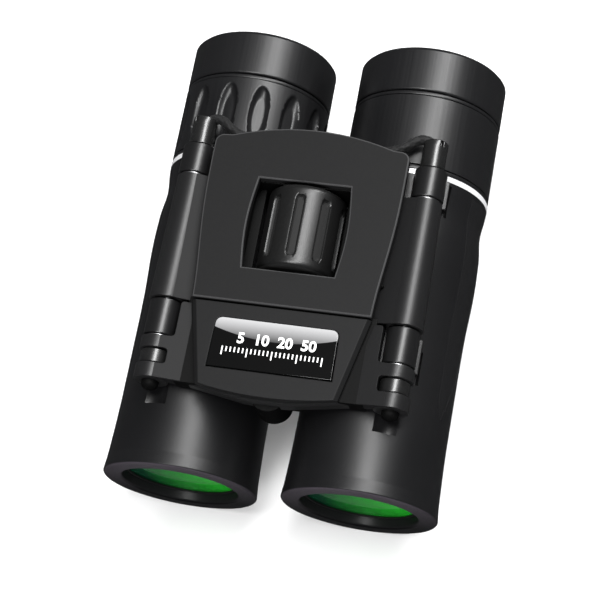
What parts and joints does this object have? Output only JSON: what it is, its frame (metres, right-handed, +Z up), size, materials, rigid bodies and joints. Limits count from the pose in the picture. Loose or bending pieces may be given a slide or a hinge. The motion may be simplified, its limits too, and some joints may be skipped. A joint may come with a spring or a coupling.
{
  "type": "binoculars",
  "caption": "Compact double-hinge folding binoculars with a flat central bridge, focus wheel in a window, dioptre ring and twist-up eyecups.",
  "frame": {"origin": "middle of the floor under the folded binoculars lying on their barrels, bridge upwards", "axes": "+X to the right barrel, +Y along the optical axes from the objectives to the eyepieces, +Z up through the bridge"},
  "size_m": [0.0744, 0.104, 0.0425],
  "materials": {
    "body_plastic": "fine satin black moulding",
    "cover_plastic": "flat dark grey-black moulding",
    "grip_rubber": "matte black rubber",
    "rim_plastic": "semi-matte dark purple-grey",
    "gloss_black": "polished black",
    "accent_silver": "bright satin silver",
    "steel": "turned",
    "brass": "turned",
    "mount_black": "black anodised",
    "coated_glass": "green anti-reflection coating",
    "ocular_glass": "pale violet coating",
    "prism_glass": "ground and polished",
    "cord_fabric": "braided black polyester"
  },
  "bodies": {
    "bridge": {"bridge_frame": "body_plastic", "top_cover": "cover_plastic", "lower_cover": "cover_plastic", "badge": "gloss_black", "hinge_axles": "steel", "axle_nuts": "gloss_black", "axle_screws": "gloss_black", "hinge_washers": "steel", "strap_caps": "gloss_black", "strap_cord": "cord_fabric", "spindle_bushes": "brass", "cover_screws": "steel"},
    "focus_wheel_body": {"focus_wheel": "body_plastic", "focus_wheel_hub": "body_plastic", "focus_spindle": "steel"},
    "focus_yoke_body": {"focus_yoke": "mount_black", "yoke_nut": "brass"},
    "left_barrel": {"left_housing": "body_plastic", "left_grip": "grip_rubber", "left_objective_rim": "rim_plastic", "left_objective_lens": "coated_glass", "left_lens_ring": "mount_black", "left_accent_ring": "accent_silver", "left_prism_holder": "mount_black", "left_prism": "prism_glass", "left_eyepiece_tube": "body_plastic"},
    "right_barrel": {"right_housing": "body_plastic", "right_grip": "grip_rubber", "right_objective_rim": "rim_plastic", "right_objective_lens": "coated_glass", "right_lens_ring": "mount_black", "right_accent_ring": "accent_silver", "right_prism_holder": "mount_black", "right_prism": "prism_glass", "right_eyepiece_tube": "body_plastic", "right_eyepiece_sleeve": "body_plastic", "right_ocular_cell": "mount_black", "right_ocular_lenses": "ocular_glass"},
    "left_focus": {"left_focus_cell": "mount_black", "left_focus_lens": "prism_glass"},
    "right_focus": {"right_focus_cell": "mount_black", "right_focus_lens": "prism_glass"},
    "dioptre": {"dioptre_ring": "body_plastic"},
    "left_ocular": {"left_ocular_cell": "mount_black", "left_ocular_lenses": "ocular_glass"},
    "left_eyecup_body": {"left_eyecup": "grip_rubber"},
    "right_eyecup_body": {"right_eyecup": "grip_rubber"}
  },
  "joints": [
    {"name": "left_barrel_hinge", "type": "hinge", "parent": "bridge", "child": "left_barrel", "pos_m": [-0.0261, 0, 0.0361], "axis": [0, 1, 0], "range_deg": [0, 48]},
    {"name": "right_barrel_hinge", "type": "hinge", "parent": "bridge", "child": "right_barrel", "pos_m": [0.0261, 0, 0.0361], "axis": [0, -1, 0], "range_deg": [0, 48]},
    {"name": "focus_wheel_turn", "type": "hinge", "parent": "bridge", "child": "focus_wheel_body", "pos_m": [0, 0, 0.0339], "axis": [0, 1, 0], "range_deg": [-180, 180]},
    {"name": "focus_yoke_slide", "type": "slide", "parent": "bridge", "child": "focus_yoke_body", "axis": [0, 1, 0], "range_m": [-0.001, 0.001]},
    {"name": "left_focus_slide", "type": "slide", "parent": "left_barrel", "child": "left_focus", "axis": [0, 1, 0], "range_m": [-0.001, 0.001]},
    {"name": "right_focus_slide", "type": "slide", "parent": "right_barrel", "child": "right_focus", "axis": [0, 1, 0], "range_m": [-0.001, 0.001]},
    {"name": "dioptre_turn", "type": "hinge", "parent": "left_barrel", "child": "dioptre", "pos_m": [-0.02, 0, 0.0172], "axis": [0, 1, 0], "range_deg": [-40, 40]},
    {"name": "left_ocular_slide", "type": "slide", "parent": "left_barrel", "child": "left_ocular", "axis": [0, 1, 0], "range_m": [-0.0007, 0.0007]},
    {"name": "left_eyecup_slide", "type": "slide", "parent": "left_barrel", "child": "left_eyecup_body", "axis": [0, 1, 0], "range_m": [0, 0.005]},
    {"name": "right_eyecup_slide", "type": "slide", "parent": "right_barrel", "child": "right_eyecup_body", "axis": [0, 1, 0], "range_m": [0, 0.005]}
  ],
  "couplings": [
    {"joint": "focus_yoke_slide", "follows": "focus_wheel_turn", "m_per_rad": 0.000318},
    {"joint": "left_focus_slide", "follows": "focus_wheel_turn", "m_per_rad": 0.000318},
    {"joint": "right_focus_slide", "follows": "focus_wheel_turn", "m_per_rad": 0.000318},
    {"joint": "left_ocular_slide", "follows": "dioptre_turn", "m_per_rad": 0.001}
  ]
}
